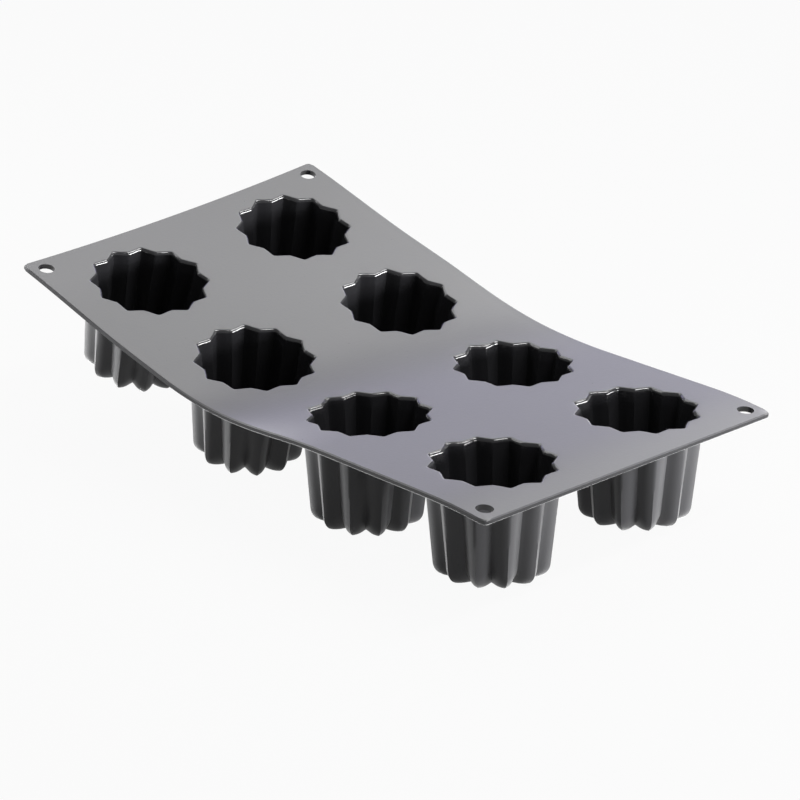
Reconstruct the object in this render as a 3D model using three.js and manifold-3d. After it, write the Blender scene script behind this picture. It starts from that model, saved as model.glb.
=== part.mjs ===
// Silicone canele mould: a bent sheet of silicone with two rows of fluted cups hanging from it.
// Millimetres, +Z up. X runs along the sheet, Y across it. Columns count from -X, row a is the far row (+Y).
import * as THREE from 'three';
import { mergeVertices } from 'three/addons/utils/BufferGeometryUtils.js';
import Module from 'manifold-3d';

const wasm = await Module();
wasm.setup();

// Sheet: each cup has one cell of it, and the cells fill the sheet but for a small margin at each end
const SHEET_LENGTH = 304;
const SHEET_WIDTH = 175.5;
const SHEET_THICKNESS = 2.5;
const END_MARGIN = 1.5;
const CORNER_RADIUS = 2.5;
const COLUMNS = 4;
const ROWS = 2;

// Corner holes, for drying the mould on a hook
const HOLE_DIAMETER = 7.5;
const HOLE_INSET = 8;

// Cups: the mouth is measured over the flute tips, the depth from the sheet's top to the outside of the base
const MOUTH_DIAMETER = 55;
const CUP_DEPTH = 49;
const WALL_THICKNESS = 2.2;
const WALL_DRAFT = THREE.MathUtils.degToRad(5.7);
const BASE_ROUNDING = 6;
const FLUTES = 12;
const FLUTE_DEPTH = 3;
const FLOOR_DIAMETER = 29;
const FLOOR_THICKNESS = 2.2;

// Flexible webs between the columns, as a share of the land left between neighbouring mouths
const WEB_SHARE = 0.56;

// Gap left between pieces that are one skin of silicone on the real mould
const SEAM = 0.3;

// Bend that the sheet has taken: slope along it, turn of its crosswise lines and rise of its left corners
const MAIN_FOLD = THREE.MathUtils.degToRad(14.9);
const MAIN_FOLD_AT = -7.5;
const FOLD_REACH = 44;
const END_DROOP = THREE.MathUtils.degToRad(6.5);
const TWIST = THREE.MathUtils.degToRad(4.6);
const TWIST_REACH = 54;
const CORNER_CURL = 2.4;

// Lean of single cups: how far the base has swung along and across the sheet
const CUP_LEANS = { b1: [-3, 0], b3: [-3, 0], b4: [1.5, -1.5] };

// Lean of the whole mould when it stands by itself on the cups a3, b3 and b2
const STAND_ABOUT_X = THREE.MathUtils.degToRad(1.96);
const STAND_ABOUT_Y = THREE.MathUtils.degToRad(5.81);

// Fineness of the faceted shapes
const POINTS_PER_FLUTE = 4;
const ALONG_STEP = 16;
const ACROSS_STEP = 45;
const ROUND_SEGMENTS = 24;
const LINE_STEPS = 120;
const OUTER_EDGE_STEPS = 2;
const INNER_EDGE_STEPS = 1;

// Values that follow from the ones above
const columnPitch = (SHEET_LENGTH - 2 * END_MARGIN) / COLUMNS;
const rowPitch = SHEET_WIDTH / ROWS;
const webWidth = (columnPitch - MOUTH_DIAMETER) * WEB_SHARE;
const fluteWave = FLUTE_DEPTH / 2;
const halfWall = WALL_THICKNESS / 2;
const middleRadius = MOUTH_DIAMETER / 2 - fluteWave + halfWall;
const innerRounding = BASE_ROUNDING - WALL_THICKNESS;
const holeRadius = FLOOR_DIAMETER / 2 + SEAM;

// Place of a column's cups along the sheet
function columnAt(column) {
  return (column - (COLUMNS + 1) / 2) * columnPitch;
}

function smoothStep(from, to, value) {
  return THREE.MathUtils.smoothstep(value, from, to);
}

// Slope of the sheet's lengthwise line at the distance s from the middle, measured along the sheet
function slopeAt(s) {
  const main = MAIN_FOLD * (smoothStep(MAIN_FOLD_AT - FOLD_REACH, MAIN_FOLD_AT + FOLD_REACH, s) - 0.5);
  const droop = END_DROOP * smoothStep(columnAt(COLUMNS), SHEET_LENGTH / 2, s);
  return main - droop;
}

// Turn of the sheet's crosswise line about the lengthwise one
function twistAt(s) {
  return TWIST * (0.5 - smoothStep(-TWIST_REACH, TWIST_REACH, s));
}

// Rise of the sheet at its left-hand end, nothing at the lengthwise line and most at the corners
function curlAt(s, y) {
  const atEnd = 1 - smoothStep(-SHEET_LENGTH / 2, -columnPitch, s);
  const fromLine = y / (SHEET_WIDTH / 2);
  return CORNER_CURL * atEnd * fromLine * fromLine;
}

// Point of the lengthwise line, found by adding up short steps along its slope
function linePoint(s) {
  const step = s / LINE_STEPS;
  const point = new THREE.Vector3();
  for (let i = 0; i < LINE_STEPS; i += 1) {
    const slope = slopeAt((i + 0.5) * step);
    point.x += step * Math.cos(slope);
    point.z += step * Math.sin(slope);
  }
  return point;
}

// Point of the bent sheet: s along it, y across it and h above its top face
function sheetPoint(s, y, h) {
  const slope = slopeAt(s);
  const twist = twistAt(s);
  const lift = new THREE.Vector3(-Math.sin(slope), 0, Math.cos(slope));
  const side = new THREE.Vector3(0, 1, 0);
  const across = side.clone().multiplyScalar(Math.cos(twist)).addScaledVector(lift, Math.sin(twist));
  const normal = lift.clone().multiplyScalar(Math.cos(twist)).addScaledVector(side, -Math.sin(twist));
  return linePoint(s).addScaledVector(across, y).addScaledVector(normal, h + curlAt(s, y));
}

// Placing of something that sits square on the sheet's top face at (s, y)
function sheetPlace(s, y) {
  const reach = 1;
  const along = sheetPoint(s + reach, y, 0).sub(sheetPoint(s - reach, y, 0)).normalize();
  const over = sheetPoint(s, y + reach, 0).sub(sheetPoint(s, y - reach, 0));
  const normal = along.clone().cross(over).normalize();
  const across = normal.clone().cross(along);
  return new THREE.Matrix4().makeBasis(along, across, normal).setPosition(sheetPoint(s, y, 0));
}

// Solids for cutting, and back to geometry
function toSolid(geometry) {
  const plain = new THREE.BufferGeometry();
  plain.setAttribute('position', geometry.getAttribute('position').clone());
  if (geometry.index) {
    plain.setIndex(geometry.index.clone());
  }
  const welded = mergeVertices(plain, 1e-4);
  const mesh = new wasm.Mesh({
    numProp: 3,
    vertProperties: Float32Array.from(welded.getAttribute('position').array),
    triVerts: Uint32Array.from(welded.index.array),
  });
  return new wasm.Manifold(mesh);
}

function toGeometry(solid) {
  const mesh = solid.getMesh();
  const geometry = new THREE.BufferGeometry();
  geometry.setAttribute('position', new THREE.BufferAttribute(Float32Array.from(mesh.vertProperties), 3));
  geometry.setIndex(new THREE.BufferAttribute(Uint32Array.from(mesh.triVerts), 1));
  geometry.computeVertexNormals();
  return geometry;
}

// Piece of the sheet between two crosswise lines, from the height low to the height high
function sheetSlab(sFrom, sTo, yFrom, yTo, low, high) {
  const alongSteps = Math.ceil((sTo - sFrom) / ALONG_STEP);
  const acrossSteps = Math.ceil((yTo - yFrom) / ACROSS_STEP);
  const box = new THREE.BoxGeometry(sTo - sFrom, yTo - yFrom, high - low, alongSteps, acrossSteps, 1);
  box.translate((sFrom + sTo) / 2, (yFrom + yTo) / 2, (low + high) / 2);
  const position = box.getAttribute('position');
  for (let i = 0; i < position.count; i += 1) {
    const point = sheetPoint(position.getX(i), position.getY(i), position.getZ(i));
    position.setXYZ(i, point.x, point.y, point.z);
  }
  return box;
}

// One ring of a cup: a wavy circle of the given radius, moved square to itself by the distance out
function flutedRing(radius, wave, out, z) {
  const count = FLUTES * POINTS_PER_FLUTE;
  const ring = [];
  for (let i = 0; i < count; i += 1) {
    const angle = (2 * Math.PI * i) / count;
    const r = radius + wave * Math.cos(FLUTES * angle);
    const change = -FLUTES * wave * Math.sin(FLUTES * angle);
    const size = Math.hypot(r, change);
    const outward = (out * r) / size;
    const sideways = (-out * change) / size;
    const x = (r + outward) * Math.cos(angle) - sideways * Math.sin(angle);
    const y = (r + outward) * Math.sin(angle) + sideways * Math.cos(angle);
    ring.push(new THREE.Vector3(x, y, z));
  }
  return ring;
}

// Skin over a row of rings: closed into a tube wall, or with flat ends
function skinOver(rings, closed) {
  const count = rings[0].length;
  const points = rings.flat();
  const faces = [];
  const spans = closed ? rings.length : rings.length - 1;
  for (let j = 0; j < spans; j += 1) {
    const lower = j * count;
    const upper = ((j + 1) % rings.length) * count;
    for (let i = 0; i < count; i += 1) {
      const next = (i + 1) % count;
      faces.push(lower + i, upper + i, lower + next);
      faces.push(lower + next, upper + i, upper + next);
    }
  }
  if (!closed) {
    const first = points.push(new THREE.Vector3(0, 0, rings[0][0].z)) - 1;
    const last = points.push(new THREE.Vector3(0, 0, rings[rings.length - 1][0].z)) - 1;
    const top = (rings.length - 1) * count;
    for (let i = 0; i < count; i += 1) {
      const next = (i + 1) % count;
      faces.push(first, i, next);
      faces.push(last, top + next, top + i);
    }
  }
  const geometry = new THREE.BufferGeometry().setFromPoints(points);
  geometry.setIndex(faces);
  return geometry;
}

// Radius of the middle of a cup's wall at a depth below the sheet's top
function wallRadius(depth) {
  return middleRadius - depth * Math.tan(WALL_DRAFT);
}

// Rings of a rounded base edge, from the wall round to the flat
function roundedEdge(rounding, flatDepth, out, steps) {
  const startDepth = flatDepth - rounding;
  const rings = [];
  for (let i = 0; i <= steps; i += 1) {
    const turn = (i / steps) * (Math.PI / 2);
    const inset = rounding * (1 - Math.cos(turn));
    const z = -startDepth - rounding * Math.sin(turn);
    rings.push(flutedRing(wallRadius(startDepth) - inset, fluteWave, out, z));
  }
  return rings;
}

// Wall of a cup with its rounded base edge, round the hole that the floor closes
function cupWallSolid() {
  const floorTop = CUP_DEPTH - FLOOR_THICKNESS;
  const outerTop = flutedRing(wallRadius(0), fluteWave, halfWall, 0);
  const innerTop = flutedRing(wallRadius(0), fluteWave, -halfWall, 0);
  const outer = [outerTop, ...roundedEdge(BASE_ROUNDING, CUP_DEPTH, halfWall, OUTER_EDGE_STEPS)];
  const inner = [innerTop, ...roundedEdge(innerRounding, floorTop, -halfWall, INNER_EDGE_STEPS)];
  const hole = [flutedRing(holeRadius, 0, 0, -CUP_DEPTH), flutedRing(holeRadius, 0, 0, -floorTop)];
  return toSolid(skinOver([...outer, ...hole, ...inner.reverse()], true));
}

// Space inside a mouth, reaching past both faces of the sheet
function mouthSolid(place) {
  const reach = 2 * SHEET_THICKNESS;
  const above = flutedRing(wallRadius(-reach), fluteWave, -halfWall, reach);
  const below = flutedRing(wallRadius(reach), fluteWave, -halfWall, -reach);
  return toSolid(skinOver([above, below], false).applyMatrix4(place));
}

// Floor disc of a cup, a little up from the base so that the rounded edge carries the mould
function floorGeometry() {
  const radius = FLOOR_DIAMETER / 2;
  const low = -CUP_DEPTH + SEAM;
  const high = -CUP_DEPTH + FLOOR_THICKNESS;
  const profile = [
    new THREE.Vector2(0, low),
    new THREE.Vector2(radius, low),
    new THREE.Vector2(radius, high),
    new THREE.Vector2(0, high),
  ];
  const disc = new THREE.LatheGeometry(profile, ROUND_SEGMENTS);
  disc.rotateX(Math.PI / 2);
  return disc;
}

// Cutter for one corner of the sheet: the corner's square less its quarter disc, with the hole beside it
function cornerCutter(xSign, ySign) {
  const height = 6 * SHEET_THICKNESS;
  const overlap = CORNER_RADIUS;
  const square = new THREE.BoxGeometry(CORNER_RADIUS + overlap, CORNER_RADIUS + overlap, height);
  square.translate(overlap / 2, overlap / 2, 0);
  const disc = new THREE.CylinderGeometry(CORNER_RADIUS, CORNER_RADIUS, 2 * height, ROUND_SEGMENTS);
  disc.rotateX(Math.PI / 2);
  disc.translate(-CORNER_RADIUS / 2, -CORNER_RADIUS / 2, 0);
  const hole = new THREE.CylinderGeometry(HOLE_DIAMETER / 2, HOLE_DIAMETER / 2, height, ROUND_SEGMENTS);
  hole.rotateX(Math.PI / 2);
  const middle = -CORNER_RADIUS / 2;
  hole.translate(CORNER_RADIUS + middle - HOLE_INSET, CORNER_RADIUS + middle - HOLE_INSET, 0);
  const turn = Math.atan2(ySign, xSign) - Math.PI / 4;
  const s = xSign * (SHEET_LENGTH / 2 - CORNER_RADIUS - middle);
  const y = ySign * (SHEET_WIDTH / 2 - CORNER_RADIUS - middle);
  const place = sheetPlace(s, y).multiply(new THREE.Matrix4().makeRotationZ(turn));
  for (const shape of [square, disc, hole]) {
    shape.applyMatrix4(place);
  }
  return toSolid(square).subtract(toSolid(disc)).add(toSolid(hole));
}

// Rows of cups and their places across the sheet
const rows = [
  { name: 'a', y: rowPitch / 2 },
  { name: 'b', y: -rowPitch / 2 },
];

// Placing of a cup: square on the sheet at its mouth, then leaning with its base swung to one side
function cupPlace(row, column) {
  const [along, across] = CUP_LEANS[`${row.name}${column}`] ?? [0, 0];
  const lean = new THREE.Euler(across / CUP_DEPTH, -along / CUP_DEPTH, 0);
  return sheetPlace(columnAt(column), row.y).multiply(new THREE.Matrix4().makeRotationFromEuler(lean));
}

function addMesh(parent, name, geometry) {
  const silicone = new THREE.MeshStandardMaterial({ color: 0x3b3b3e, roughness: 0.55, metalness: 0 });
  const mesh = new THREE.Mesh(geometry, silicone);
  mesh.name = name;
  parent.add(mesh);
}

const mould = new THREE.Group();

// Sheet panels: one for each column, with its two mouths and, at the ends, the corners
for (let column = 1; column <= COLUMNS; column += 1) {
  const first = column === 1;
  const last = column === COLUMNS;
  const sFrom = first ? -SHEET_LENGTH / 2 : columnAt(column) - columnPitch / 2 + webWidth / 2;
  const sTo = last ? SHEET_LENGTH / 2 : columnAt(column) + columnPitch / 2 - webWidth / 2;
  const half = SHEET_WIDTH / 2;
  let panel = toSolid(sheetSlab(sFrom, sTo, -half, half, -SHEET_THICKNESS, 0));
  for (const row of rows) {
    panel = panel.subtract(mouthSolid(cupPlace(row, column)));
  }
  if (first || last) {
    const end = first ? -1 : 1;
    panel = panel.subtract(cornerCutter(end, 1)).subtract(cornerCutter(end, -1));
  }
  addMesh(mould, `sheet_panel_${column}`, toGeometry(panel));
}

// Flexible webs between the panels
for (let column = 1; column < COLUMNS; column += 1) {
  const middle = columnAt(column) + columnPitch / 2;
  const reach = webWidth / 2 - SEAM;
  const half = SHEET_WIDTH / 2;
  const web = sheetSlab(middle - reach, middle + reach, -half, half, -SHEET_THICKNESS, 0);
  addMesh(mould, `flex_web_${column}${column + 1}`, toGeometry(toSolid(web)));
}

// Cups: each wall ends a seam below the sheet
for (const row of rows) {
  for (let column = 1; column <= COLUMNS; column += 1) {
    const s = columnAt(column);
    const place = cupPlace(row, column);
    const cup = new THREE.Group();
    cup.applyMatrix4(place);
    const reach = MOUTH_DIAMETER / 2 + 2 * WALL_THICKNESS + SEAM;
    const under = -SHEET_THICKNESS - SEAM;
    const over = 3 * SHEET_THICKNESS;
    const slab = sheetSlab(s - reach, s + reach, row.y - reach, row.y + reach, under, over);
    const cutter = toSolid(slab.applyMatrix4(place.clone().invert()));
    addMesh(cup, `cup_wall_${row.name}${column}`, toGeometry(cupWallSolid().subtract(cutter)));
    addMesh(cup, `cup_floor_${row.name}${column}`, floorGeometry());
    mould.add(cup);
  }
}

// Stand the mould on the ground plane, with the middle of its box over the origin
mould.rotation.set(STAND_ABOUT_X, STAND_ABOUT_Y, 0);
mould.updateMatrixWorld(true);
const box = new THREE.Box3().setFromObject(mould, true);
const centre = box.getCenter(new THREE.Vector3());
mould.position.set(-centre.x, -centre.y, -box.min.z);
mould.updateMatrixWorld(true);

export default mould;
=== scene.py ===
# %% [markdown]
# Silicone canele mould
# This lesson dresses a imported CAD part: a sheet of dark silicone with two rows of four fluted cups.
# The CAD solids are split at the places where the rubber flexes. On the real mould the skin is
# unbroken, so every solid is replaced here by a skin whose borders meet its neighbours without a
# gap. Everything is in metres and in the part's own frame.

# %% Load the CAD frame
import math
import bpy
import numpy as np
from mathutils import Matrix, Quaternion, Vector


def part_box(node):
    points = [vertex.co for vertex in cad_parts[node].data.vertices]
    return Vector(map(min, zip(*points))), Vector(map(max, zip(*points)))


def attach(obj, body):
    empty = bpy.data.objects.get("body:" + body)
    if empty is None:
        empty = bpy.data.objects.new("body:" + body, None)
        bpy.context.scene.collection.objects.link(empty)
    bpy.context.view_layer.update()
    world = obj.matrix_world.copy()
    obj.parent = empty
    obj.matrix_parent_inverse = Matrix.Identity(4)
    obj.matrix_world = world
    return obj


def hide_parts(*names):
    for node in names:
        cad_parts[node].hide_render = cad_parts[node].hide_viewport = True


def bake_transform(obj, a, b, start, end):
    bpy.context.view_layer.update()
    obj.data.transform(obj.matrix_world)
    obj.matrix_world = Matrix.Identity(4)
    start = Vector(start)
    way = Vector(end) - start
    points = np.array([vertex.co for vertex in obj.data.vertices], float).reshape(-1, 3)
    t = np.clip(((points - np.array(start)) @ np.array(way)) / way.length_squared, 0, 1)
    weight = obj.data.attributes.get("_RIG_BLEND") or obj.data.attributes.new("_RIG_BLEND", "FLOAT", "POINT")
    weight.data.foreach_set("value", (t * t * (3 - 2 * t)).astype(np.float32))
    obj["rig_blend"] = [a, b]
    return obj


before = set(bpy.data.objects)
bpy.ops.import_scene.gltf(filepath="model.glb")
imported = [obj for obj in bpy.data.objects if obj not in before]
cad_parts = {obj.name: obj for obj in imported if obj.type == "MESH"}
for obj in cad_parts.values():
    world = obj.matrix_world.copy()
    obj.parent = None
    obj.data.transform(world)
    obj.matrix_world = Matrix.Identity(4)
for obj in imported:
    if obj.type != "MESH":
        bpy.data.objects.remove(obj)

MM = 0.001


def in_mm(lengths, digits=1):
    return [round(float(length) / MM, digits) for length in lengths]


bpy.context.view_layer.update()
scene = bpy.context.scene
scene.view_settings.view_transform = "Standard"

# %% [markdown]
# Camera
# The photograph was taken from well back with a long lens, which keeps the far cups nearly as large
# as the near ones. The place and the small roll come from fitting the sheet's corners and the eight
# mouths. A camera could also be aimed with a constraint, but a fixed place is easier to check. The
# lamps are turned by the same two helpers later.

# %% Camera
CAMERA_PLACE = Vector((935.0, -883.9, 561.1)) * MM
CAMERA_LENS = 139.32
CAMERA_SENSOR = 36
CAMERA_AZIMUTH = math.radians(46.314)
CAMERA_ELEVATION = math.radians(22.329)
CAMERA_ROLL = math.radians(1.007)


def direction(azimuth, elevation):
    """Unit vector that leads away from the mould. Azimuth counts from -Y towards +X."""
    level = math.cos(elevation)
    return Vector((math.sin(azimuth) * level, -math.cos(azimuth) * level, math.sin(elevation)))


def look_back(thing, away, roll):
    """Turns a camera or a lamp to look back along a direction, rolled about its own view."""
    thing.rotation_mode = "QUATERNION"
    facing = (-away).to_track_quat("-Z", "Y")
    thing.rotation_quaternion = facing @ Quaternion((0, 0, 1), roll)


bpy.ops.object.camera_add(location=CAMERA_PLACE)
camera = bpy.context.object
look_back(camera, direction(CAMERA_AZIMUTH, CAMERA_ELEVATION), CAMERA_ROLL)
camera.data.lens = CAMERA_LENS
camera.data.sensor_width = CAMERA_SENSOR
scene.camera = camera
print("camera stands", round(CAMERA_PLACE.length, 2), "m from the ground under the mould's middle")

# %% [markdown]
# The sheet and its bend
# The mould is moulded flat and has taken a bend: it is folded up a little across the middle and
# twisted there, the right-hand end droops, and the left-hand corners curl up. A Simple Deform
# modifier bends about one axis only, so the bend is a formula instead, the same one that shaped the
# solids. Each piece is modelled flat, where it is easy to draw, and is bent at the end. The
# lengthwise line is added up once in short steps and then read off.

# %% Sizes of the sheet and its bend
SHEET_LENGTH = 304 * MM
SHEET_WIDTH = 175.5 * MM
SHEET_THICKNESS = 2.5 * MM
END_MARGIN = 1.5 * MM
COLUMNS = (1, 2, 3, 4)
ROWS = {"a": 0.5, "b": -0.5}
MAIN_FOLD = math.radians(14.9)
MAIN_FOLD_AT = -7.5 * MM
FOLD_REACH = 44 * MM
END_DROOP = math.radians(6.5)
TWIST = math.radians(4.6)
TWIST_REACH = 54 * MM
CORNER_CURL = 2.4 * MM
column_pitch = (SHEET_LENGTH - 2 * END_MARGIN) / len(COLUMNS)
row_pitch = SHEET_WIDTH / len(ROWS)
middle_column = sum(COLUMNS) / len(COLUMNS)
print("pitch of the columns and of the rows in mm:", in_mm((column_pitch, row_pitch), 2))


# %% Slope, twist and curl
def column_middle(column):
    """How far along the flat sheet a column's middle is."""
    return (column - middle_column) * column_pitch


def smooth_step(start, end, value):
    share = np.clip((value - start) / (end - start), 0, 1)
    return share * share * (3 - 2 * share)


def slope_at(along):
    folded = smooth_step(MAIN_FOLD_AT - FOLD_REACH, MAIN_FOLD_AT + FOLD_REACH, along)
    drooped = smooth_step(column_middle(COLUMNS[-1]), SHEET_LENGTH / 2, along)
    return MAIN_FOLD * (folded - 0.5) - END_DROOP * drooped


def twist_at(along):
    return TWIST * (0.5 - smooth_step(-TWIST_REACH, TWIST_REACH, along))


def curl_at(along, across):
    at_end = 1 - smooth_step(-SHEET_LENGTH / 2, -column_pitch, along)
    return CORNER_CURL * at_end * (across / (SHEET_WIDTH / 2)) ** 2


end_slopes = [math.degrees(slope_at(end * SHEET_LENGTH / 2)) for end in (-1, 1)]
print("slopes of the left and the right end in degrees:", [round(slope, 2) for slope in end_slopes])

# %% Points of the bent sheet
LINE_STEP = 0.5 * MM
LINE_SPARE = 10 * MM
half_line = SHEET_LENGTH / 2 + LINE_SPARE
line_steps = np.arange(-half_line, half_line, LINE_STEP)
line_middles = line_steps + LINE_STEP / 2
line_along = np.append(line_steps, half_line)
line_x = np.append(0, np.cumsum(np.cos(slope_at(line_middles)))) * LINE_STEP
line_z = np.append(0, np.cumsum(np.sin(slope_at(line_middles)))) * LINE_STEP
line_x = line_x - np.interp(0, line_along, line_x)
line_z = line_z - np.interp(0, line_along, line_z)


def sheet_points(along, across, height):
    """Bent places of points that are given along, across and above the flat sheet."""
    slope = slope_at(along)
    twist = twist_at(along)
    height = height + curl_at(along, across)
    sideways = across * np.cos(twist) - height * np.sin(twist)
    lifted = across * np.sin(twist) + height * np.cos(twist)
    x = np.interp(along, line_along, line_x) - lifted * np.sin(slope)
    z = np.interp(along, line_along, line_z) + lifted * np.cos(slope)
    return np.stack([x, sideways, z], axis=-1)


def sheet_place(along, across):
    """Bent place of one point on the sheet's top."""
    return Vector(sheet_points(along, across, 0))


print("left end of the bent sheet in mm:", in_mm(sheet_place(-SHEET_LENGTH / 2, 0)))
print("right end of the bent sheet in mm:", in_mm(sheet_place(SHEET_LENGTH / 2, 0)))

# %% [markdown]
# Places of the cups
# A cup hangs square to the sheet at its own mouth. Three cups of the near row lean as well, because
# soft cups give where they stand: a lean says how far a cup's base has swung along and across the
# sheet. Empties could carry these places, but a matrix is easier to read back in a formula.

# %% Places of the cups
CUP_DEPTH = 49 * MM
CUP_LEANS = {"b1": (-3 * MM, 0), "b3": (-3 * MM, 0), "b4": (1.5 * MM, -1.5 * MM)}
CUPS = [(row, column) for row in ROWS for column in COLUMNS]


def cup_middle(row, column):
    return column_middle(column), ROWS[row] * row_pitch


def cup_place(row, column):
    """Matrix that hangs a flat cup, drawn round the Z axis, under its own mouth."""
    along, across = cup_middle(row, column)
    ahead = sheet_place(along + MM, across) - sheet_place(along - MM, across)
    over = sheet_place(along, across + MM) - sheet_place(along, across - MM)
    ahead.normalize()
    normal = ahead.cross(over).normalized()
    square = Matrix((ahead, normal.cross(ahead), normal)).transposed().to_4x4()
    swing_along, swing_across = CUP_LEANS.get(f"{row}{column}", (0, 0))
    lean_x = Matrix.Rotation(swing_across / CUP_DEPTH, 4, "X")
    lean_y = Matrix.Rotation(-swing_along / CUP_DEPTH, 4, "Y")
    return Matrix.Translation(sheet_place(along, across)) @ square @ lean_x @ lean_y


print("cups:", len(CUPS), "of which lean:", len(CUP_LEANS))

# %% [markdown]
# Standing in the part's frame
# The bent sheet leans a little, because the mould stands on three of its cups. It could be settled by
# a rigid body simulation, but the CAD already knows where it stands. So the shift is read from the
# CAD floors: each floor disc's box middle is compared with where the formula puts that disc.

# %% Lean and shift into the frame
STAND_ABOUT_X = math.radians(1.96)
STAND_ABOUT_Y = math.radians(5.81)
# How far under its mouth the middle of a CAD floor disc is.
CAD_FLOOR_MIDDLE = 47.75 * MM
stand = Matrix.Rotation(STAND_ABOUT_X, 4, "X") @ Matrix.Rotation(STAND_ABOUT_Y, 4, "Y")
shifts = []
for row, column in CUPS:
    low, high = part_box(f"cup_floor_{row}{column}")
    floor_middle = stand @ cup_place(row, column) @ Vector((0, 0, -CAD_FLOOR_MIDDLE))
    shifts.append((low + high) / 2 - floor_middle)
shift = sum(shifts, Vector()) / len(shifts)
stand = Matrix.Translation(shift) @ stand
print("shift in mm:", in_mm(shift, 2))
print("largest departure in mm:", in_mm([max((each - shift).length for each in shifts)], 3))

# %% [markdown]
# Bending a flat piece
# A vertex near the sheet follows the sheet's own curve. Lower down it belongs to a cup, which keeps
# its shape, so there it follows the cup's fixed place, and a soft step leads from one to the other
# below the sheet. A lattice could do this roughly, but the formula keeps the seams exact.

# %% Bending
HANG_REACH = 12 * MM


def read_places(piece):
    places = np.empty(len(piece.data.vertices) * 3)
    piece.data.vertices.foreach_get("co", places)
    return places.reshape(-1, 3)


def write_places(piece, places):
    piece.data.vertices.foreach_set("co", places.astype(np.float32).ravel())
    piece.data.update()


def moved(places, matrix):
    matrix = np.array(matrix)
    return places @ matrix[:3, :3].T + matrix[:3, 3]


def bend(piece):
    """Moves a flat piece's vertices onto the bent, standing mould."""
    flat = read_places(piece)
    bent = sheet_points(flat[:, 0], flat[:, 1], flat[:, 2])
    hang = smooth_step(SHEET_THICKNESS, SHEET_THICKNESS + HANG_REACH, -flat[:, 2])
    for row, column in CUPS:
        along, across = cup_middle(row, column)
        in_column = abs(flat[:, 0] - along) < column_pitch / 2
        in_row = abs(flat[:, 1] - across) < row_pitch / 2
        near = in_column & in_row
        hung = moved(flat[near] - np.array((along, across, 0)), cup_place(row, column))
        share = hang[near, None]
        bent[near] = bent[near] * (1 - share) + hung * share
    write_places(piece, moved(bent, stand))


# %% [markdown]
# Cup section
# A cup has twelve flutes: pointed ridges with rounded hollows between them. It could be drawn as a
# star and extruded, but the flutes deepen towards the base and run out over its rounded edge. So two
# half sections are drawn, one through a ridge and one through a hollow, with the same number of
# corners, and the wall waves between them.

# %% Sizes of a cup
FLUTES = 12
POINTS_PER_FLUTE = 16
RIDGE_MOUTH_RADIUS = 26.9 * MM
HOLLOW_MOUTH_RADIUS = 23.9 * MM
WALL_THICKNESS = 2.8 * MM
RIDGE_DRAFT = math.radians(5.7)
HOLLOW_DRAFT = math.radians(7.4)
RIDGE_ROUNDING = 7 * MM
HOLLOW_ROUNDING = 11 * MM
# Below this depth the wall belongs to the cup, and above it to the rim of the mouth.
SEAM_DEPTH = 6 * MM
WALL_STEPS = 14
ROUNDING_STEPS = 9
FLOOR_RING_SHARES = (0.66, 0.33, 0)
floor_top = CUP_DEPTH - WALL_THICKNESS
print("depth inside a cup in mm:", in_mm([floor_top]))


# %% Section of a cup
def wall_radius(mouth_radius, draft, depth, outward):
    return mouth_radius + outward - depth * math.tan(draft)


def wall_section(mouth_radius, draft, rounding, outward, base_depth):
    """Corners from the seam down a wall, round its base edge and in to the axis."""
    middle_depth = base_depth - rounding
    wall_there = wall_radius(mouth_radius, draft, middle_depth, outward)
    middle_radius = wall_there - rounding / math.cos(draft)
    tangent_depth = middle_depth + rounding * math.sin(draft)
    corners = []
    for i in range(WALL_STEPS):
        depth = SEAM_DEPTH + (tangent_depth - SEAM_DEPTH) * i / WALL_STEPS
        corners.append((wall_radius(mouth_radius, draft, depth, outward), -depth))
    for i in range(ROUNDING_STEPS + 1):
        turn = draft + (math.pi / 2 - draft) * i / ROUNDING_STEPS
        radius = middle_radius + rounding * math.cos(turn)
        corners.append((radius, -middle_depth - rounding * math.sin(turn)))
    for share in FLOOR_RING_SHARES:
        corners.append((middle_radius * share, -base_depth))
    return corners


def cup_section(mouth_radius, draft, rounding):
    """Corners from the axis up the inside to the seam, then down the outside to the axis."""
    inner = wall_section(mouth_radius, draft, rounding - WALL_THICKNESS, 0, floor_top)
    outer = wall_section(mouth_radius, draft, rounding, WALL_THICKNESS, CUP_DEPTH)
    return inner[::-1] + outer


cup_ridge = cup_section(RIDGE_MOUTH_RADIUS, RIDGE_DRAFT, RIDGE_ROUNDING)
cup_hollow = cup_section(HOLLOW_MOUTH_RADIUS, HOLLOW_DRAFT, HOLLOW_ROUNDING)
cup_inside = [True] * (len(cup_ridge) // 2) + [False] * (len(cup_ridge) // 2)
print("corners in the cup's section:", len(cup_ridge))

# %% [markdown]
# From a section to a fluted shape
# The section is drawn as by hand: a plane merged to one vertex, extruded from corner to corner. Spin
# turns it round the axis. Then each vertex slides from the ridge section towards the hollow section
# by a wave round the axis. The inside has sharp ridges and the outside broad ones, as a skin of even
# thickness has.

# %% Drawing and spinning a section
SPIN_MERGE = 0.001 * MM


def select_only(piece):
    bpy.ops.object.select_all(action="DESELECT")
    piece.select_set(True)
    bpy.context.view_layer.objects.active = piece


def draw_section(name, corners):
    bpy.ops.object.select_all(action="DESELECT")
    bpy.ops.mesh.primitive_plane_add(size=MM)
    piece = bpy.context.object
    piece.name = name
    places = [Vector((radius, 0, height)) for radius, height in corners]
    bpy.ops.object.mode_set(mode="EDIT")
    bpy.ops.mesh.merge(type="CENTER")
    bpy.ops.transform.translate(value=places[0])
    for before, after in zip(places, places[1:]):
        bpy.ops.mesh.extrude_region_move(TRANSFORM_OT_translate={"value": after - before})
    return piece


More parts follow.
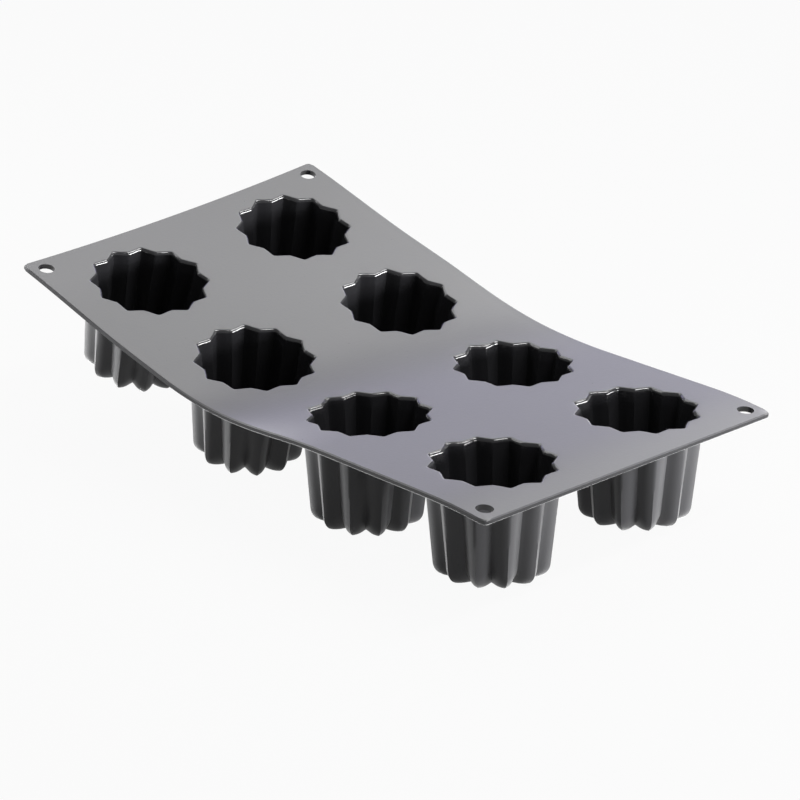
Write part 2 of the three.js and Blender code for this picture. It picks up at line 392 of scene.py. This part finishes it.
def spin_section(piece):
    """Spins the section of the piece in edit mode, and closes the seam and the poles."""
    bpy.ops.mesh.select_all(action="SELECT")
    bpy.ops.mesh.spin(
        steps=FLUTES * POINTS_PER_FLUTE, angle=2 * math.pi, center=(0, 0, 0), axis=(0, 0, 1))
    bpy.ops.mesh.select_all(action="SELECT")
    bpy.ops.mesh.remove_doubles(threshold=SPIN_MERGE)
    bpy.ops.mesh.normals_make_consistent(inside=False)
    bpy.ops.object.mode_set(mode="OBJECT")
    print("vertices of", piece.name, "after the spin:", len(piece.data.vertices))


# %% Fluting
# A pointedness of 0 is a round wave and 1 a zigzag. A lean above 0 makes narrow ridges with broad
# hollows, and one below 0 the other way round.
INSIDE_POINTEDNESS = 0.8
OUTSIDE_POINTEDNESS = 0.62
INSIDE_LEAN = 0.2
OUTSIDE_LEAN = -0.14


def flute(piece, ridge, hollow, inside, polished_and_shaded):
    """Slides a spun ridge section towards the hollow section, in waves round the axis."""
    spun = read_places(piece)
    radius = np.hypot(spun[:, 0], spun[:, 1])
    angle = np.arctan2(spun[:, 1], spun[:, 0])
    section = np.stack([radius, spun[:, 2]], axis=-1)
    away = np.linalg.norm(section[:, None, :] - np.array(ridge)[None, :, :], axis=-1)
    corner = away.argmin(axis=1)
    wave = np.cos(FLUTES * angle)
    zigzag = 1 - 2 * np.arccos(np.clip(wave, -1, 1)) / math.pi
    is_inside = np.array(inside)[corner]
    pointedness = np.where(is_inside, INSIDE_POINTEDNESS, OUTSIDE_POINTEDNESS)
    lean = np.where(is_inside, INSIDE_LEAN, OUTSIDE_LEAN)
    crest = (1 - pointedness) * wave + pointedness * zigzag + lean * (wave * wave - 1)
    share = ((1 + crest) / 2)[:, None]
    waved = np.array(ridge)[corner] * share + np.array(hollow)[corner] * (1 - share)
    x = waved[:, 0] * np.cos(angle)
    y = waved[:, 0] * np.sin(angle)
    # The marks choose the polished finish and its painted shade.
    polish_and_shade = piece.data.attributes.new("polish_and_shade", "FLOAT", "POINT")
    polish_and_shade.data.foreach_set("value", np.array(polished_and_shaded, dtype=np.float32)[corner])
    write_places(piece, np.stack([x, y, waved[:, 1]], axis=-1))


# %% One flat cup
cup_pattern = draw_section("cup_pattern", cup_ridge)
spin_section(cup_pattern)
# The whole inside of a cup is polished and gets painted shade.
flute(cup_pattern, cup_ridge, cup_hollow, cup_inside, polished_and_shaded=cup_inside)
print("faces of one cup:", len(cup_pattern.data.polygons))

# %% [markdown]
# Rim of a mouth
# Where a cup meets the sheet, the top edge of its wall is rolled over with a small radius that
# catches the lamps in short white dashes, and a fillet stiffens the corner below. A bevel on a fluted
# hole would bunch up in the hollows. So this ring is drawn, spun and fluted as the cup is. It carries
# the first few millimetres of wall, and the seam between the two pieces hides in the dark mouth.

# %% Sizes and section of a rim
RIM_ROUNDING = 1.8 * MM
RIM_STEPS = 8
UNDER_FILLET = 0.8 * MM
FILLET_STEPS = 5
COLLAR_RADIUS = 31.2 * MM
# The corners of the rim past this one are polished and get painted shade, counted from the collar
# in to the mouth.
POLISH_AND_SHADE_FROM = 2


def rim_top(mouth_radius, draft):
    """Corners from the collar's top in to the mouth and down to the seam."""
    corners = [(COLLAR_RADIUS, 0)]
    for i in range(RIM_STEPS + 1):
        turn = (math.pi / 2 - draft) * i / RIM_STEPS
        radius = mouth_radius + RIM_ROUNDING * (1 - math.sin(turn))
        corners.append((radius, -RIM_ROUNDING * (1 - math.cos(turn))))
    corners.append((wall_radius(mouth_radius, draft, SEAM_DEPTH, 0), -SEAM_DEPTH))
    return corners


def rim_bottom(mouth_radius, draft):
    """Corners from the seam up the outside and out under the sheet to the collar."""
    corners = [(wall_radius(mouth_radius, draft, SEAM_DEPTH, WALL_THICKNESS), -SEAM_DEPTH)]
    fillet_depth = SHEET_THICKNESS + UNDER_FILLET
    fillet_radius = wall_radius(mouth_radius, draft, fillet_depth, WALL_THICKNESS)
    for i in range(FILLET_STEPS + 1):
        turn = math.pi * (1 - i / FILLET_STEPS / 2)
        radius = fillet_radius + UNDER_FILLET * (1 + math.cos(turn))
        corners.append((radius, -fillet_depth + UNDER_FILLET * math.sin(turn)))
    corners.append((COLLAR_RADIUS, -SHEET_THICKNESS))
    return corners


def rim_section(mouth_radius, draft):
    return rim_top(mouth_radius, draft) + rim_bottom(mouth_radius, draft)


rim_ridge = rim_section(RIDGE_MOUTH_RADIUS, RIDGE_DRAFT)
rim_hollow = rim_section(HOLLOW_MOUTH_RADIUS, HOLLOW_DRAFT)
top_corners = len(rim_top(RIDGE_MOUTH_RADIUS, RIDGE_DRAFT))
rim_inside = [i < top_corners for i in range(len(rim_ridge))]
# These corners get the polished finish and the painted shade of the polished material.
rim_polished_and_shaded = [POLISH_AND_SHADE_FROM < i < top_corners for i in range(len(rim_ridge))]
print("corners in the rim's section:", len(rim_ridge), "of which polished:", sum(rim_polished_and_shaded))

# %% One flat rim
rim_pattern = draw_section("rim_pattern", rim_ridge)
spin_section(rim_pattern)
flute(rim_pattern, rim_ridge, rim_hollow, rim_inside, rim_polished_and_shaded)
print("faces of one rim:", len(rim_pattern.data.polygons))

# %% [markdown]
# Sheet panels
# Each column of two cups has a panel of the sheet. A plate with holes cut by booleans would have long
# thin faces that bend badly. Here the rim's two open collar loops are extruded out to the border of
# the cup's cell, and the long faces are cut into bands, so that they fan out evenly from every mouth.

# %% Border of a cell
WEB_WIDTH = 11.3 * MM
CORNER_RADIUS = 2.5 * MM
SMALLEST_RAY = 1e-9
web_reach = column_pitch / 2 - WEB_WIDTH / 2
end_reach = column_pitch / 2 + END_MARGIN


def cell_reach(column):
    """How far a panel reaches from its cups' middle, to its left and to its right."""
    left = end_reach if column == COLUMNS[0] else web_reach
    right = end_reach if column == COLUMNS[-1] else web_reach
    return left, right


def border_points(rays, left, right):
    """Where rays from a cup's middle meet its cell's border, round at the sheet's own corners."""
    half = row_pitch / 2
    ray_x = np.maximum(abs(rays[:, 0]), SMALLEST_RAY)
    ray_y = np.maximum(abs(rays[:, 1]), SMALLEST_RAY)
    ray_reach = np.where(rays[:, 0] < 0, left, right)
    border = rays * np.minimum(ray_reach / ray_x, half / ray_y)[:, None]
    for side, reach in ((-1, left), (1, right)):
        for end in (-1, 1):
            corner = np.array((side * reach, end * half))
            border[np.linalg.norm(border - corner, axis=1).argmin()] = corner
        if reach == end_reach:
            middle = np.array((side * (reach - CORNER_RADIUS), half - CORNER_RADIUS))
            spoke = border - middle
            beyond = (spoke[:, 0] * side > 0) & (spoke[:, 1] > 0)
            spoke = spoke / np.linalg.norm(spoke, axis=1)[:, None] * CORNER_RADIUS
            border[beyond] = middle + spoke[beyond]
    return border


print("reach of a cell to a web and to an end in mm:", in_mm((web_reach, end_reach), 2))


# %% Selecting by place
def deselect_mesh(piece):
    for elements in (piece.data.polygons, piece.data.edges, piece.data.vertices):
        for element in elements:
            element.select = False


def select_vertices(piece, test):
    """Selects the vertices whose places pass the test."""
    bpy.context.tool_settings.mesh_select_mode = (True, False, False)
    deselect_mesh(piece)
    for vertex in piece.data.vertices:
        vertex.select = test(vertex.co)


def select_edges(piece, test):
    """Selects the edges whose two end places pass the test."""
    bpy.context.tool_settings.mesh_select_mode = (False, True, False)
    deselect_mesh(piece)
    vertices = piece.data.vertices
    for edge in piece.data.edges:
        edge.select = test(*(vertices[i].co for i in edge.vertices))


# %% Spreading a rim to its cell
BANDS = 6
CLOSE = 0.01 * MM
CLEAR_OF_COLLAR = 10 * CLOSE


def own_copy(piece):
    """A copy with its own mesh, put into the scene."""
    copy = piece.copy()
    copy.data = piece.data.copy()
    scene.collection.objects.link(copy)
    return copy


def leaves_collar(one, other):
    """Whether an edge leads from the collar's own circle straight out to the border."""
    inner, outer = sorted((one.xy.length, other.xy.length))
    return abs(inner - COLLAR_RADIUS) < CLOSE and outer > COLLAR_RADIUS + CLEAR_OF_COLLAR


def spread_cell(column):
    """A rim copied to its place in row a, its collar spread out to the border of its cell."""
    cell = own_copy(rim_pattern)
    select_only(cell)
    select_vertices(cell, lambda co: co.xy.length > COLLAR_RADIUS - CLOSE)
    bpy.ops.object.mode_set(mode="EDIT")
    bpy.ops.mesh.extrude_region_move(TRANSFORM_OT_translate={"value": (0, 0, 0)})
    bpy.ops.object.mode_set(mode="OBJECT")
    spread = [vertex for vertex in cell.data.vertices if vertex.select]
    for face in (0, -SHEET_THICKNESS):
        loop = [vertex for vertex in spread if abs(vertex.co.z - face) < CLOSE]
        rays = np.array([vertex.co.xy.normalized() for vertex in loop])
        for vertex, place in zip(loop, border_points(rays, *cell_reach(column))):
            vertex.co.xy = place
    select_edges(cell, leaves_collar)
    bpy.ops.object.mode_set(mode="EDIT")
    bpy.ops.mesh.subdivide(number_cuts=BANDS - 1)
    bpy.ops.mesh.select_all(action="SELECT")
    bpy.ops.transform.translate(value=(*cup_middle("a", column), 0))
    bpy.ops.object.mode_set(mode="OBJECT")
    return cell


# %% [markdown]
# Closing a panel
# The cell of row b is the mirror image of the cell of row a. A Mirror modifier would do as well, but
# a mirrored copy is as quick to join. Then the top and bottom outlines are bridged to give the sheet
# its edge, and the edges that face outwards get a narrow bevel, which draws a light line along them.

# %% Outline of the sheet
EDGE_BEVEL = 0.5 * MM
ON_OUTLINE = 5 * CLOSE


def outline_gap(co):
    """Distance of a flat place from the sheet's rounded outline."""
    beyond_x = abs(co.x) - (SHEET_LENGTH / 2 - CORNER_RADIUS)
    beyond_y = abs(co.y) - (SHEET_WIDTH / 2 - CORNER_RADIUS)
    outside = math.hypot(max(beyond_x, 0), max(beyond_y, 0))
    return abs(outside + min(max(beyond_x, beyond_y), 0) - CORNER_RADIUS)


def runs_on_outline(one, other):
    """Whether an edge runs along the outline, on the top face or on the bottom one."""
    both_on = max(outline_gap(one), outline_gap(other)) < ON_OUTLINE
    return both_on and abs(one.z - other.z) < CLOSE


def bevel_outline(piece):
    """Bevels the long edges of the sheet's own outline and leaves the seams square."""
    select_edges(piece, runs_on_outline)
    bpy.ops.object.mode_set(mode="EDIT")
    bpy.ops.mesh.bevel(offset=EDGE_BEVEL, segments=1, affect="EDGES")
    bpy.ops.object.mode_set(mode="OBJECT")


# %% Closed panels
JOIN_MERGE = 0.005 * MM


def join_mirrored(half):
    """Joins the half of row a with its mirror image in row b."""
    mirrored = own_copy(half)
    select_only(mirrored)
    mirrored.scale.y = -1
    bpy.ops.object.transform_apply(location=False, rotation=False, scale=True)
    half.select_set(True)
    bpy.context.view_layer.objects.active = half
    bpy.ops.object.join()


def close_panel():
    """Merges the active panel's two halves and bridges its open top and bottom outlines."""
    bpy.ops.object.mode_set(mode="EDIT")
    bpy.ops.mesh.select_all(action="SELECT")
    bpy.ops.mesh.remove_doubles(threshold=JOIN_MERGE)
    bpy.context.tool_settings.mesh_select_mode = (False, True, False)
    bpy.ops.mesh.select_all(action="DESELECT")
    bpy.ops.mesh.select_non_manifold(
        extend=False, use_wire=False, use_multi_face=False, use_non_contiguous=False,
        use_verts=False)
    bpy.ops.mesh.bridge_edge_loops()
    bpy.ops.mesh.select_all(action="SELECT")
    bpy.ops.mesh.normals_make_consistent(inside=False)
    bpy.ops.object.mode_set(mode="OBJECT")


panels = {}
for column in COLUMNS:
    panel = spread_cell(column)
    panel.name = f"panel_skin_{column}"
    join_mirrored(panel)
    close_panel()
    bevel_outline(panel)
    panels[column] = panel
    print("faces of", panel.name, len(panel.data.polygons))

# %% [markdown]
# Corner holes
# A hole through each corner lets the mould hang to dry. A boolean is the plain way to cut a hole
# through a finished plate, and the faces round it lie flat, so its odd-shaped faces do no harm.

# %% Corner holes
HOLE_DIAMETER = 7.5 * MM
HOLE_INSET = 8 * MM
HOLE_SIDES = 48
DRILL_LENGTH = 4 * SHEET_THICKNESS
hole_along = SHEET_LENGTH / 2 - HOLE_INSET
hole_across = SHEET_WIDTH / 2 - HOLE_INSET


def cut_hole(panel, along, across):
    bpy.ops.object.select_all(action="DESELECT")
    bpy.ops.mesh.primitive_cylinder_add(
        vertices=HOLE_SIDES, radius=HOLE_DIAMETER / 2, depth=DRILL_LENGTH,
        location=(along, across, 0))
    drill = bpy.context.object
    select_only(panel)
    cut = panel.modifiers.new("hole", "BOOLEAN")
    cut.object = drill
    cut.operation = "DIFFERENCE"
    bpy.ops.object.modifier_apply(modifier=cut.name)
    bpy.data.objects.remove(drill)


for column, side in ((COLUMNS[0], -1), (COLUMNS[-1], 1)):
    for end in (-1, 1):
        cut_hole(panels[column], side * hole_along, end * hole_across)
    print("faces of", panels[column].name, "with its holes:", len(panels[column].data.polygons))

# %% [markdown]
# Smooth cut edges with painted shade
# The outer edge of the sheet and the walls of its holes are smooth, so they shine like the inside of
# a cup, and like it they get painted shade. Pieces of their own would only add seams. Instead the
# vertices there are marked in the attribute that the cups and rims already carry, and the marks
# choose the finish and the darker colour later.


# %% Smooth cut edges with painted shade
def hole_gap(co):
    """Distance of a flat place from the wall of the nearest corner hole."""
    along = abs(co.x) - hole_along
    across = abs(co.y) - hole_across
    return abs(math.hypot(along, across) - HOLE_DIAMETER / 2)


def polish_and_shade_edges(piece):
    """Marks vertices of the outer edge and the hole walls for the smooth finish and painted shade."""
    attributes = piece.data.attributes
    marks = attributes.get("polish_and_shade") or attributes.new("polish_and_shade", "FLOAT", "POINT")
    marked = 0
    for vertex, mark in zip(piece.data.vertices, marks.data):
        if min(outline_gap(vertex.co), hole_gap(vertex.co)) < ON_OUTLINE:
            mark.value = 1
            marked += 1
    print("polished edge vertices of", piece.name, marked)


for panel in panels.values():
    polish_and_shade_edges(panel)

# %% [markdown]
# Flexible webs
# Between two columns the sheet has a plain strip, and that is where it folds. A stretched cube would
# stay stiff between its two ends. A grid gives the strip enough rows of faces to bend smoothly, and
# Solidify gives it the sheet's thickness.

# %% Webs
WEB_STEPS = 8
WEB_ROWS = 90


def web_middle(column):
    """How far along the flat sheet the web between a column and the next one is."""
    return column_middle(column + 0.5)


webs = {}
for column in COLUMNS[:-1]:
    bpy.ops.object.select_all(action="DESELECT")
    bpy.ops.mesh.primitive_grid_add(
        x_subdivisions=WEB_STEPS, y_subdivisions=WEB_ROWS, size=1,
        location=(web_middle(column), 0, 0))
    web = bpy.context.object
    web.name = f"web_skin_{column}{column + 1}"
    web.scale = (WEB_WIDTH, SHEET_WIDTH, 1)
    bpy.ops.object.transform_apply(location=True, rotation=False, scale=True)
    skin = web.modifiers.new("thickness", "SOLIDIFY")
    skin.thickness = SHEET_THICKNESS
    skin.offset = -1
    bpy.ops.object.modifier_apply(modifier=skin.name)
    bevel_outline(web)
    polish_and_shade_edges(web)
    webs[column] = web
    print("faces of", web.name, len(web.data.polygons))

# %% [markdown]
# Cups in their places
# The eight cups are alike. An array would keep them on one straight line, and each has a body of its
# own, so the flat cup is copied eight times, each copy with its own mesh, and moved under its mouth.

# %% Copies of the cup
cups = {}
for row, column in CUPS:
    cup = own_copy(cup_pattern)
    cup.name = f"cup_shell_{row}{column}"
    cup.data.transform(Matrix.Translation((*cup_middle(row, column), 0)))
    cups[row, column] = cup
bpy.data.objects.remove(cup_pattern)
bpy.data.objects.remove(rim_pattern)
print("cups:", [cup.name for cup in cups.values()])

# %% [markdown]
# Bending and smooth shading
# All pieces are flat so far, and now each one is moved onto the bent sheet. Moulded rubber has soft,
# even faces, so the shading is smoothed across all but sharp edges, and Weighted Normal keeps the
# large faces even next to the narrow bevels. Subdivision would smooth them too, with many more faces.

# %% Bend every piece and smooth its shading
SMOOTH_ANGLE = math.radians(40)
pieces = [*panels.values(), *webs.values(), *cups.values()]
triangles = 0
for piece in pieces:
    bend(piece)
    select_only(piece)
    bpy.ops.object.shade_smooth_by_angle(angle=SMOOTH_ANGLE)
    flat_faces = piece.modifiers.new("flat faces", "WEIGHTED_NORMAL")
    flat_faces.keep_sharp = True
    bpy.ops.object.modifier_apply(modifier=flat_faces.name)
    triangles += sum(len(face.vertices) - 2 for face in piece.data.polygons)
print("pieces:", len(pieces), "triangles in all:", triangles)

# %% [markdown]
# Joining the pieces to the bodies
# A panel moves with its column. A web bends from one column to the next, and a cup's base gives way
# as a thumb pushes the floor up. Rigid pieces would tear there, so these are blended between two
# bodies.

# %% Panels ride on their columns
for column, panel in panels.items():
    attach(panel, f"column_{column}")
    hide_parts(f"sheet_panel_{column}")
print("panels that ride on a column:", len(panels))

# %% Webs bend between two columns
# Share of a web's width, at each side, that still moves with its column.
BLEND_INSET = 0.1
blend_reach = WEB_WIDTH * (0.5 - BLEND_INSET)
for column, web in webs.items():
    start = stand @ sheet_place(web_middle(column) - blend_reach, 0)
    end = stand @ sheet_place(web_middle(column) + blend_reach, 0)
    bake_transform(web, f"column_{column}", f"column_{column + 1}", start=start, end=end)
    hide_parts(f"flex_web_{column}{column + 1}")
print("webs that bend:", len(webs))

# %% Cups give way at their base
GIVE_FROM = 18 * MM
GIVE_TO = 45 * MM
for (row, column), cup in cups.items():
    place = stand @ cup_place(row, column)
    start = place @ Vector((0, 0, -GIVE_FROM))
    end = place @ Vector((0, 0, -GIVE_TO))
    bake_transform(cup, f"column_{column}", f"floor_{row}{column}", start=start, end=end)
    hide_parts(f"cup_wall_{row}{column}", f"cup_floor_{row}{column}")
print("cups that give way:", len(cups))

# %% [markdown]
# Silicone rubber, matt, and polished with painted shade
# Platinum-cured silicone, coloured dark grey right through. The steel mould that it is pressed in has
# a blasted plate and polished cores, so the sheet and the outside are matt, with a pale bloom at low
# angles, while the cups are smooth inside, with bright glints on their rims. The polished faces also
# get a darker colour, which is painted shade and keeps the insides of the cups nearly black. A painted
# mask could part the two, but a material for each face keeps the border crisp. One function makes
# both. The colour drifts a little from place to place, and a fine grain breaks up the gloss.


# %% Helpers for materials
def linear(hex_colour):
    """sRGB hex to the linear colour that the shader wants."""
    channels = [int(hex_colour[i:i + 2], 16) / 255 for i in (1, 3, 5)]
    return (*(c / 12.92 if c <= 0.04045 else ((c + 0.055) / 1.055) ** 2.4 for c in channels), 1)


def add_node(tree, kind, inputs=None, **settings):
    """Adds a node. An input is a value, or another node's output to link from."""
    node = tree.nodes.new(kind)
    for name, value in settings.items():
        setattr(node, name, value)
    for socket, value in (inputs or {}).items():
        if isinstance(value, bpy.types.NodeSocket):
            tree.links.new(value, node.inputs[socket])
        else:
            node.inputs[socket].default_value = value
    return node


# %% Silicone rubber
DRIFT_SIZE = 40 * MM
DRIFT_DETAIL = 3.0
# The real grain is a small part of a millimetre. It is drawn coarser, so that it shows at all.
GRAIN_SIZE = 1.2 * MM
GRAIN_DETAIL = 2.0
BLOOM_ROUGHNESS = 0.5


def silicone(finish, dark, light, roughness, grain_height, bloom, ior):
    material = bpy.data.materials.new(f"silicone rubber, {finish}")
    material.use_nodes = True
    tree = material.node_tree
    place = add_node(tree, "ShaderNodeTexCoord").outputs["Object"]
    drift = add_node(
        tree, "ShaderNodeTexNoise",
        {"Vector": place, "Scale": 1 / DRIFT_SIZE, "Detail": DRIFT_DETAIL})
    grain = add_node(
        tree, "ShaderNodeTexNoise",
        {"Vector": place, "Scale": 1 / GRAIN_SIZE, "Detail": GRAIN_DETAIL})
    colour = add_node(
        tree, "ShaderNodeMix",
        {"Factor": drift.outputs["Fac"], "A": linear(dark), "B": linear(light)},
        data_type="RGBA")
    gloss = add_node(
        tree, "ShaderNodeMapRange",
        {"Value": grain.outputs["Fac"], "To Min": roughness[0], "To Max": roughness[1]})
    bump = add_node(
        tree, "ShaderNodeBump", {"Height": grain.outputs["Fac"], "Distance": grain_height})
    shader = tree.nodes["Principled BSDF"]
    tree.links.new(colour.outputs["Result"], shader.inputs["Base Color"])
    tree.links.new(gloss.outputs["Result"], shader.inputs["Roughness"])
    tree.links.new(bump.outputs["Normal"], shader.inputs["Normal"])
    shader.inputs["IOR"].default_value = ior
    shader.inputs["Sheen Weight"].default_value = bloom
    shader.inputs["Sheen Roughness"].default_value = BLOOM_ROUGHNESS
    return material


# %% Matt outside, polished inside with painted shade
# Silicone's index of refraction is about 1.41. The polished faces have a higher one, so that the
# glints on the rims are about as bright as in the photograph.
MATT_IOR = 1.41
POLISHED_IOR = 1.6
BLOOM = 0.48
POLISHED_AND_SHADED_ABOVE = 0.5
matt_silicone = silicone(
    "matt", dark="#2a2a2c", light="#303033", roughness=(0.26, 0.32),
    grain_height=0.02 * MM, bloom=BLOOM, ior=MATT_IOR)
# The polished faces get a darker colour than the matt ones. That darker colour is painted shade on the
# insides of the cups, the hole walls and the sheet's cut edge. Their smoother, glossier finish is real.
polished_and_shaded_silicone = silicone(
    "polished_and_shaded", dark="#202022", light="#262628", roughness=(0.12, 0.16),
    grain_height=0.005 * MM, bloom=0, ior=POLISHED_IOR)
# Faces whose corners are all marked get the polished finish and its painted shade.
polished_and_shaded_faces = 0
for piece in pieces:
    piece.data.materials.clear()
    piece.data.materials.append(matt_silicone)
    piece.data.materials.append(polished_and_shaded_silicone)
    polish_and_shade = [mark.value for mark in piece.data.attributes["polish_and_shade"].data]
    for face in piece.data.polygons:
        face.material_index = int(min(polish_and_shade[i] for i in face.vertices) > POLISHED_AND_SHADED_ABOVE)
        polished_and_shaded_faces += face.material_index
print("polished faces:", polished_and_shaded_faces)

# %% [markdown]
# White ground
# The photograph has a white ground with hardly any shadow. Much light on a white floor would do
# that, but it would wash out the dark rubber. So the floor and the world are white to the camera,
# less white where the rubber mirrors them, and dim as a light, which leaves the flutes their
# contrast. The floor keeps a faint shadow.


# %% Rays that see the background
def white_share(tree, direct, mirrored):
    """How white the background is to camera rays, and to rays that see it in a gloss."""
    rays = add_node(tree, "ShaderNodeLightPath").outputs
    in_gloss = add_node(
        tree, "ShaderNodeMath", {0: rays["Is Glossy Ray"], 1: rays["Is Transmission Ray"]},
        operation="MAXIMUM")
    indirect = add_node(
        tree, "ShaderNodeMath", {0: in_gloss.outputs[0], 1: mirrored}, operation="MULTIPLY")
    share = add_node(
        tree, "ShaderNodeMath", {0: rays["Is Camera Ray"], 1: direct, 2: indirect.outputs[0]},
        operation="MULTIPLY_ADD")
    return share.outputs[0]


# %% Floor
FLOOR_SIZE = 8.0
FLOOR_COLOUR = linear("#808080")
WHITE = linear("#ffffff")
FLOOR_WHITENESS = 0.94
FLOOR_WHITENESS_IN_GLOSS = 0.55
bpy.ops.object.select_all(action="DESELECT")
bpy.ops.mesh.primitive_plane_add(size=FLOOR_SIZE)
floor = bpy.context.object
floor.name = "studio_floor"
paper = bpy.data.materials.new("paper, matt white")
paper.use_nodes = True
tree = paper.node_tree
tree.nodes.clear()
whiteness = white_share(tree, FLOOR_WHITENESS, FLOOR_WHITENESS_IN_GLOSS)
matt = add_node(tree, "ShaderNodeBsdfDiffuse", {"Color": FLOOR_COLOUR})
white = add_node(tree, "ShaderNodeEmission", {"Color": WHITE, "Strength": 1.0})
ground = add_node(
    tree, "ShaderNodeMixShader", {0: whiteness, 1: matt.outputs[0], 2: white.outputs[0]})
add_node(tree, "ShaderNodeOutputMaterial", {"Surface": ground.outputs[0]})
floor.data.materials.append(paper)
print("floor of", paper.name, "and", FLOOR_SIZE, "m wide")

# %% World
AMBIENT = 0.12
WALL_WHITENESS_IN_GLOSS = 0.25
world = bpy.data.worlds.new("studio")
scene.world = world
world.use_nodes = True
tree = world.node_tree
tree.nodes.clear()
whiteness = white_share(tree, 1.0, WALL_WHITENESS_IN_GLOSS)
strength = add_node(
    tree, "ShaderNodeMapRange", {"Value": whiteness, "To Min": AMBIENT, "To Max": 1.0})
room = add_node(
    tree, "ShaderNodeBackground", {"Color": WHITE, "Strength": strength.outputs["Result"]})
add_node(tree, "ShaderNodeOutputWorld", {"Surface": room.outputs[0]})
print("light of the world on the mould:", AMBIENT)

# %% [markdown]
# Lamps
# What the rubber mirrors tells where the lights of the photograph stood. A broad box high behind
# greys the left half of the sheet, and a faint cool one low behind tints the right half. A long strip
# at the upper right draws white dashes on the far rims. A narrow tall lamp at the left draws a light
# line along the near edge. Two low boxes, close by at the sides, pick out the flutes. A sun would be
# simpler, but area lamps have a shape that the rubber can mirror.


# %% Lamps
def soft_box(name, azimuth, elevation, distance, width, height, brightness, roll=0,
             colour="#ffffff"):
    """A rectangular lamp that faces the mould. Its angles are in degrees, azimuth from the camera."""
    away = direction(CAMERA_AZIMUTH + math.radians(azimuth), math.radians(elevation))
    bpy.ops.object.light_add(type="AREA", location=away * distance)
    lamp = bpy.context.object
    lamp.name = name
    look_back(lamp, away, math.radians(roll))
    lamp.data.shape = "RECTANGLE"
    lamp.data.size = width
    lamp.data.size_y = height
    # With this energy, a lamp of brightness 1 is just white in a mirror.
    lamp.data.energy = brightness * math.pi * width * height
    lamp.data.color = linear(colour)[:3]
    lamp.visible_camera = False


soft_box("back_box", azimuth=180, elevation=56, distance=1.3,
         width=1.8, height=0.8, brightness=2.9)
soft_box("low_box", azimuth=180, elevation=20, distance=1.6,
         width=1.8, height=0.4, brightness=1.5, colour="#d2ccff")
soft_box("glint_strip", azimuth=83, elevation=57, distance=1.2,
         width=0.95, height=0.15, brightness=34.0, roll=-39)
soft_box("left_lamp", azimuth=-107, elevation=42, distance=1.2,
         width=0.15, height=0.5, brightness=6.0)
soft_box("right_box", azimuth=76, elevation=6, distance=0.6,
         width=0.5, height=0.11, brightness=58.0)
soft_box("left_box", azimuth=-112, elevation=3, distance=0.6,
         width=0.4, height=0.055, brightness=145.0)
